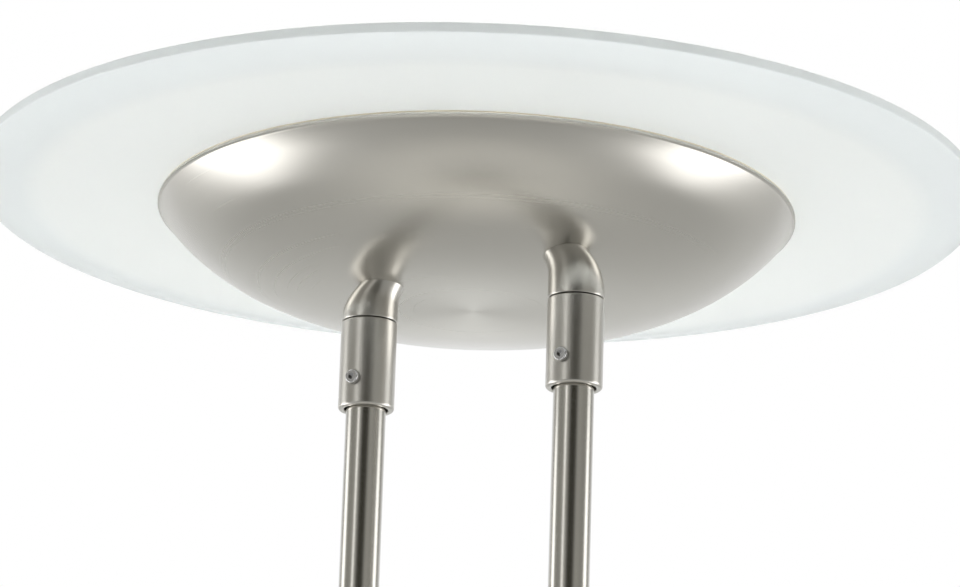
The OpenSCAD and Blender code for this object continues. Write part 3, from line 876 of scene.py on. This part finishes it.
def make_dimmer_screws():
    """The two screws that clamp the case round the poles."""
    head_h = 2.4 * MM
    shank_l = 18 * MM
    y = POLE_Y + CASE_SCREW_SEAT
    screws = [
        socket_screw("case_screw", M3_HEAD_R, head_h, M3_R, shank_l, (x, y, DIMMER_Z), (0, 1, 0))
        for x in (LEFT_X - CASE_SCREW_X, RIGHT_X + CASE_SCREW_X)
    ]
    return finish_piece(join("case_screws", screws), STEEL, "steel", "dimmer_screws")


def knob_outline():
    """Section of the knob: a recess at the back, a blind bore for the shaft, a dished face."""
    recess_r = 5.5 * MM
    recess = KNOB_BACK + 4 * MM
    dish = KNOB_FRONT - 0.4 * MM
    dish_edge = 0.3 * MM
    return rounded([
        (SHAFT_R, recess), (recess_r, recess), (recess_r, KNOB_BACK, 0.2 * MM),
        (KNOB_R, KNOB_BACK, 0.5 * MM), (KNOB_R, KNOB_BACK + 2 * MM), (KNOB_R, KNOB_BACK + 4 * MM),
        (KNOB_R, KNOB_FRONT - 4 * MM), (KNOB_R, KNOB_FRONT - 2.4 * MM), (KNOB_R, KNOB_FRONT, 1.2 * MM),
        (KNOB_R - 2 * MM, KNOB_FRONT, dish_edge), (KNOB_R - 2.6 * MM, dish, dish_edge),
        (0, dish), (0, SHAFT_END), (SHAFT_R, SHAFT_END),
    ])


def knurl(knob):
    """Presses fine ridges into the knob's side."""
    ridges = 54
    depth = 0.35 * MM
    skin = KNOB_R - 0.2 * MM
    low, high = KNOB_BACK + 1.5 * MM, KNOB_FRONT - 2 * MM
    for v in knob.data.vertices:
        x, y, z = v.co
        r = math.hypot(x, y)
        if r > skin and low < z < high:
            groove = (0.5 + 0.5 * math.cos(ridges * math.atan2(y, x))) ** 2
            pressed = r - depth * groove
            v.co = (x * pressed / r, y * pressed / r, z)


def make_knob():
    """Knurled knob with a spun face, a recess for the bush and a pointer groove."""
    half = 0.6 * MM
    face = POLE_Y - KNOB_FRONT
    top = DIMMER_Z + KNOB_R
    knob = lathe("knob_turned", knob_outline(), segments=432)
    knurl(knob)
    point_along(knob, (POLE_MID_X, POLE_Y, DIMMER_Z), (0, -1, 0))
    groove = box_cutter(
        (POLE_MID_X - half, face - 1 * MM, top - 7 * MM),
        (POLE_MID_X + half, face + 0.8 * MM, top + 1 * MM),
    )
    cut(knob, groove)
    return finish_piece(knob, KNOB_METAL, "satin_nickel", "dimmer_knob", body="knob")


def make_shaft():
    """Plastic shaft of the potentiometer."""
    outline = rounded([
        (0, SHAFT_START), (SHAFT_R, SHAFT_START, 0.2 * MM),
        (SHAFT_R, SHAFT_END, 0.4 * MM), (0, SHAFT_END),
    ])
    shaft = lathe("knob_shaft", outline, segments=64)
    point_along(shaft, (POLE_MID_X, POLE_Y, DIMMER_Z), (0, -1, 0))
    return finish_piece(shaft, WHITE_PLASTIC, "white_plastic", "dimmer_shaft", body="knob")


# ---- base ----------------------------------------------------------------------------------

BASE_R = radius_of("base_cover")
BASE_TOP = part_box("base_cover")[1].z
FOOT_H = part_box("base_cover")[0].z - FLOOR_Z
FOOT_R = 10 * MM
FOOT_CIRCLE = 122 * MM
COVER_T = 1.5 * MM
COVER_ROUND = 8 * MM
PLATE_SCREW_CIRCLE = 100 * MM
GLAND_Z = middle_of("cord_gland").z


def cover_curve(grow, steps=20):
    """Shoulder of the cover from its side to its flat top."""
    r = BASE_R + grow
    top = BASE_TOP + grow
    turn = COVER_ROUND + grow
    arc = [math.pi / 2 * i / steps for i in range(steps + 1)]
    return [(r - turn + turn * math.cos(a), top - turn + turn * math.sin(a)) for a in arc]


def cover_outline():
    """Closed section of the cover, with loops that keep its side's and top's shading flat."""
    low = FLOOR_Z + FOOT_H
    side_z = low + 4 * MM
    flat_r = BASE_R - 10 * MM
    under = BASE_TOP - COVER_T
    edge = rounded([
        (BASE_R - COVER_T, side_z), (BASE_R - COVER_T, low, 0.4 * MM), (BASE_R, low, 0.5 * MM),
        (BASE_R, side_z),
    ])
    return [
        *edge[1:-1], (BASE_R, side_z),
        *cover_curve(0), (flat_r, BASE_TOP), (0, BASE_TOP),
        (0, under), (flat_r, under), *reversed(cover_curve(-COVER_T)),
        (BASE_R - COVER_T, side_z),
    ]


def make_base_cover():
    """Spun cover with a rounded shoulder and its holes."""
    margin = 5 * MM
    cover = lathe("base_cover_spun", cover_outline(), segments=256)
    holes = [
        cylinder("hole", NIPPLE_R, (x, POLE_Y, BASE_TOP - margin), (x, POLE_Y, BASE_TOP + margin))
        for x in (LEFT_X, RIGHT_X)
    ]
    inlet = cylinder("hole", NIPPLE_R, (0, BASE_R - 15 * MM, GLAND_Z), (0, BASE_R + margin, GLAND_Z))
    cut(cover, *holes, inlet)
    return finish_piece(cover, BOWL_METAL, "satin_nickel", "base_cover")


def make_base_plate():
    """Steel disc that closes the base, with its screw holes."""
    low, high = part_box("base_plate")
    r = radius_of("base_plate")
    soft = 0.3 * MM
    hole_r = 2.05 * MM
    below, above = low.z - 1 * MM, high.z + 1 * MM
    outline = rounded([(0, low.z), (r, low.z, soft), (r, high.z, soft), (0, high.z)])
    plate = lathe("base_closing_plate", outline, segments=192)
    holes = [
        cylinder("hole", hole_r, (x, y, below), (x, y, above))
        for x, y in evenly_round(PLATE_SCREW_CIRCLE, 60, 4)
    ]
    cut(plate, *holes)
    return finish_piece(plate, BLACK_STEEL, "black_steel", "base_plate")


def make_plate_screws():
    """Four screws under the base."""
    head_r, head_h = 3.5 * MM, 2 * MM
    shank_r, shank_l = 2 * MM, 9 * MM
    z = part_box("base_plate")[0].z
    screws = [
        socket_screw("plate_screw", head_r, head_h, shank_r, shank_l, (x, y, z), (0, 0, -1))
        for x, y in evenly_round(PLATE_SCREW_CIRCLE, 60, 4)
    ]
    return finish_piece(join("plate_screws", screws), STEEL, "steel", "base_plate_screws")


def make_feet():
    """Moulded rubber feet with a shallow dish and a soft edge."""
    fine_edge = 0.2 * MM
    dish = FLOOR_Z + 0.3 * MM
    top = FLOOR_Z + FOOT_H
    outline = rounded([
        (0, dish), (6 * MM, dish, fine_edge), (6.6 * MM, FLOOR_Z, fine_edge),
        (FOOT_R, FLOOR_Z, 0.7 * MM), (FOOT_R, top, fine_edge), (0, top),
    ])
    feet = [
        lathe("foot", outline, centre=centre, segments=64)
        for centre in evenly_round(FOOT_CIRCLE, 18, 5)
    ]
    return finish_piece(join("rubber_feet", feet), BLACK_RUBBER, "black_rubber", "base_feet")


def make_gland():
    """Bush for the mains cord, with a chamfered flange."""
    low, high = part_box("cord_gland")
    back, front = low.y - BASE_R, high.y - BASE_R
    bore_r, tube_r = 3.5 * MM, 5 * MM
    flange_r, nose_r = 7.5 * MM, 6.4 * MM
    outline = rounded([
        (bore_r, back, 0.4 * MM), (tube_r, back, 0.6 * MM), (tube_r, 0), (flange_r, 0, 0.2 * MM),
        (flange_r, front - 1.2 * MM, 0.3 * MM), (nose_r, front, 0.6 * MM), (bore_r, front, 0.7 * MM),
    ])
    gland = lathe("inlet_bush", outline, segments=96)
    point_along(gland, (0, BASE_R, GLAND_Z), (0, 1, 0))
    return finish_piece(gland, BLACK_PLASTIC, "black_plastic", "cord_gland")


# ---- light source --------------------------------------------------------------------------

def make_diffuser():
    """Opal disc with soft edges."""
    low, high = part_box("diffuser")
    r = radius_of("diffuser")
    outline = rounded([(0, low.z), (r, low.z, 0.4 * MM), (r, high.z, 0.6 * MM), (0, high.z)])
    disc = lathe("diffuser_disc", outline, segments=192)
    return finish_piece(disc, OPAL, "opal_acrylic", "diffuser")


def make_ring_screws():
    """Four small screws that hold the ring on the bowl's lip."""
    low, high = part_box("ring_screws")
    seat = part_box("retaining_ring")[1].z
    head_r, head_h = 2.2 * MM, high.z - seat
    shank_r, shank_l = 1.25 * MM, seat - low.z
    screws = [
        socket_screw("ring_screw", head_r, head_h, shank_r, shank_l, (x, y, seat), (0, 0, 1))
        for x, y in evenly_round(RING_SCREW_CIRCLE, 45, 4)
    ]
    return finish_piece(join("ring_fixings", screws), STEEL, "steel", "ring_screws")


# ---- stage, lights and camera --------------------------------------------------------------

def turned(x, y, z):
    """A point given as seen from the camera: x to its right, y away from it."""
    c, s = math.cos(VIEW_TURN), math.sin(VIEW_TURN)
    return Vector((x * c - y * s, x * s + y * c, z))


def make_camera():
    """Long lens under two metres away, looking up at the head."""
    pitch, roll = math.radians(16.82), math.radians(1.87)
    aside, back, below_top = 0.0025, 1.769, 0.5769
    forward = turned(0, math.cos(pitch), math.sin(pitch))
    level = turned(1, 0, 0)
    upright = level.cross(forward)
    right = level * math.cos(roll) + upright * math.sin(roll)
    up = upright * math.cos(roll) - level * math.sin(roll)
    data = bpy.data.cameras.new("camera")
    data.sensor_width = 36                      # in millimetres, like the lens
    data.lens = 169.9125
    data.clip_start = 0.05
    data.clip_end = 100
    camera = bpy.data.objects.new("camera", data)
    turn = Matrix((right, up, -forward)).transposed().to_4x4()
    camera.matrix_world = Matrix.Translation(turned(aside, -back, TOP_Z - below_top)) @ turn
    bpy.context.scene.collection.objects.link(camera)
    bpy.context.scene.camera = camera


def around(azimuth, distance, height):
    """A point round the lamp's axis: azimuth 0 is away from the camera, 90 to its right."""
    a = math.radians(azimuth)
    return turned(math.sin(a) * distance, math.cos(a) * distance, height)


def place_light(name, data, at, aim, reflected):
    """Links a light that the camera itself doesn't see, aimed at a point."""
    light = bpy.data.objects.new(name, data)
    light.location = at
    light.rotation_mode = "QUATERNION"
    light.rotation_quaternion = (Vector(aim) - Vector(at)).to_track_quat("-Z", "Y")
    light.visible_camera = False
    light.visible_glossy = reflected
    bpy.context.scene.collection.objects.link(light)


def softbox(name, at, aim, width, height, radiance, color=(1, 1, 1), reflected=True, spread=180):
    """Rectangular area light."""
    data = bpy.data.lights.new(name, "AREA")
    data.shape = "RECTANGLE"
    data.size = width
    data.size_y = height
    data.energy = radiance * math.pi * width * height
    data.color = color
    data.spread = math.radians(spread)
    place_light(name, data, at, aim, reflected)


def spot(name, at, aim, watts, angle, blend, size, color):
    """Soft-edged spotlight, unseen in reflections."""
    data = bpy.data.lights.new(name, "SPOT")
    data.energy = watts
    data.spot_size = math.radians(angle)
    data.spot_blend = blend
    data.shadow_soft_size = size
    data.color = color
    place_light(name, data, at, aim, reflected=False)


def make_lights():
    """Tall softboxes at the sides and back, soft light from above and washes over the floor."""
    side_reach, side_z = 1.7, 1.25
    side_w, side_h = 0.8, 2.1
    side_glow, side_spread = 1.05, 100
    warm, warmer, cool = (1, 0.98, 0.94), (1, 0.96, 0.88), (0.97, 0.99, 1)
    middle = Vector((0, 0, 1.25))
    head = Vector((0, 0, TOP_Z - 0.05))
    floor_middle = Vector((0, 0, FLOOR_Z))
    for name, azimuth in (("left_box", -76), ("right_box", 84)):
        at = around(azimuth, side_reach, side_z)
        softbox(name, at, head, side_w, side_h, side_glow, spread=side_spread)
    softbox("back_left_box", around(-140, 2.6, 1.9), middle, width=0.35, height=1.6, radiance=1.6)
    softbox(
        "overhead", turned(0, 0.2, 3.6), floor_middle,
        width=1.6, height=1.6, radiance=0.7, color=warm, reflected=False,
    )
    spot(
        "pool", turned(0, 0.3, 5), floor_middle,
        watts=520, angle=18, blend=0.6, size=0.4, color=warmer,
    )
    softbox(
        "far_wash", turned(0, 8, 4), turned(0, 8, 0),
        width=7, height=7, radiance=1.6, color=cool, reflected=False,
    )


def world_node(tree, kind, **values):
    """New node of the world, with some of its settings."""
    made = tree.nodes.new(kind)
    for key, value in values.items():
        setattr(made, key, value)
    return made


def gradient(tree, source, output, stops):
    """Colour ramp of a world value from -1 to 1."""
    scale = world_node(tree, "ShaderNodeMapRange")
    scale.inputs["From Min"].default_value = -1
    tree.links.new(source.outputs[output], scale.inputs["Value"])
    tone = world_node(tree, "ShaderNodeValToRGB")
    tree.links.new(scale.outputs["Result"], tone.inputs["Fac"])
    elements = tone.color_ramp.elements
    while len(elements) < len(stops):
        elements.new(0.5)
    for element, (position, value) in zip(elements, stops):
        element.position = position
        element.color = (*value, 1)
    return tone


def white_for_camera(tree, room):
    """Shows the camera white, also through glass, and everything else the room."""
    output = world_node(tree, "ShaderNodeOutputWorld")
    mix = world_node(tree, "ShaderNodeMixShader")
    seen = world_node(tree, "ShaderNodeBackground")
    seen.inputs["Color"].default_value = (1, 1, 1, 1)
    path = world_node(tree, "ShaderNodeLightPath")
    either = world_node(tree, "ShaderNodeMath", operation="MAXIMUM")
    tree.links.new(path.outputs["Is Camera Ray"], either.inputs[0])
    tree.links.new(path.outputs["Is Transmission Ray"], either.inputs[1])
    tree.links.new(either.outputs[0], mix.inputs[0])
    tree.links.new(room.outputs[0], mix.inputs[1])
    tree.links.new(seen.outputs[0], mix.inputs[2])
    tree.links.new(mix.outputs[0], output.inputs["Surface"])


def away_from_camera(tree):
    """Cosine of a direction's azimuth: 1 away from the camera, -1 behind it."""
    direction = world_node(tree, "ShaderNodeTexCoord")
    level = world_node(tree, "ShaderNodeVectorMath", operation="MULTIPLY")
    level.inputs[1].default_value = (1, 1, 0)
    tree.links.new(direction.outputs["Generated"], level.inputs[0])
    unit = world_node(tree, "ShaderNodeVectorMath", operation="NORMALIZE")
    tree.links.new(level.outputs["Vector"], unit.inputs[0])
    away = world_node(tree, "ShaderNodeVectorMath", operation="DOT_PRODUCT")
    away.inputs[1].default_value = turned(0, 1, 0)
    tree.links.new(unit.outputs["Vector"], away.inputs[0])
    return away


def make_world():
    """White backdrop for the camera; a soft grey studio, darker behind the camera, for the rest."""
    dark_wall = (0.04, 0.038, 0.03)
    near_wall = (0.42, 0.415, 0.39)
    side_wall = (0.30, 0.295, 0.27)
    far_wall = (0.36, 0.36, 0.34)
    bright_wall = (0.95, 0.96, 0.97)
    world = bpy.data.worlds.new("studio")
    bpy.context.scene.world = world
    world.use_nodes = True
    tree = world.node_tree
    tree.nodes.clear()
    room = world_node(tree, "ShaderNodeBackground")
    white_for_camera(tree, room)
    room_tone = gradient(tree, away_from_camera(tree), "Value", [
        (0.014, dark_wall), (0.06, near_wall), (0.3, side_wall), (0.78, far_wall),
        (0.92, bright_wall),
    ])
    tree.links.new(room_tone.outputs["Color"], room.inputs["Color"])


def make_floor():
    """Plain pale floor with a large radius."""
    floor_r = 13
    paper = plain("floor_paper", (0.80, 0.80, 0.79), 0.8, tint=0.0, spread=0.01)
    bm = bmesh.new()
    bmesh.ops.create_circle(bm, cap_ends=True, segments=96, radius=floor_r)
    bm.transform(Matrix.Translation((0, 0, FLOOR_Z)))
    floor = from_bmesh("floor", bm)
    floor.data.materials.append(paper)


bpy.context.scene.view_settings.view_transform = "Standard"

dress_cad_nodes()
make_bowl()
make_glass()
make_gasket()
make_elbow("left", LEFT_X, 1)
make_elbow("right", RIGHT_X, -1)
make_collar("left", LEFT_X, LEFT_COLLAR_METAL)
make_collar("right", RIGHT_X, RIGHT_COLLAR_METAL)
make_collar_screws("collar_screws", "head_screws")
make_retaining_ring()
make_pole_sections()
make_foot_collar("left", LEFT_X, LEFT_COLLAR_METAL)
make_foot_collar("right", RIGHT_X, RIGHT_COLLAR_METAL)
make_collar_screws("foot_screws", "base_screws")
make_dimmer_half("dimmer_front", -1)
make_dimmer_half("dimmer_back", 1)
make_dimmer_screws()
make_knob()
make_shaft()
make_base_cover()
make_base_plate()
make_plate_screws()
make_feet()
make_gland()
make_diffuser()
make_ring_screws()
make_camera()
make_lights()
make_world()
make_floor()
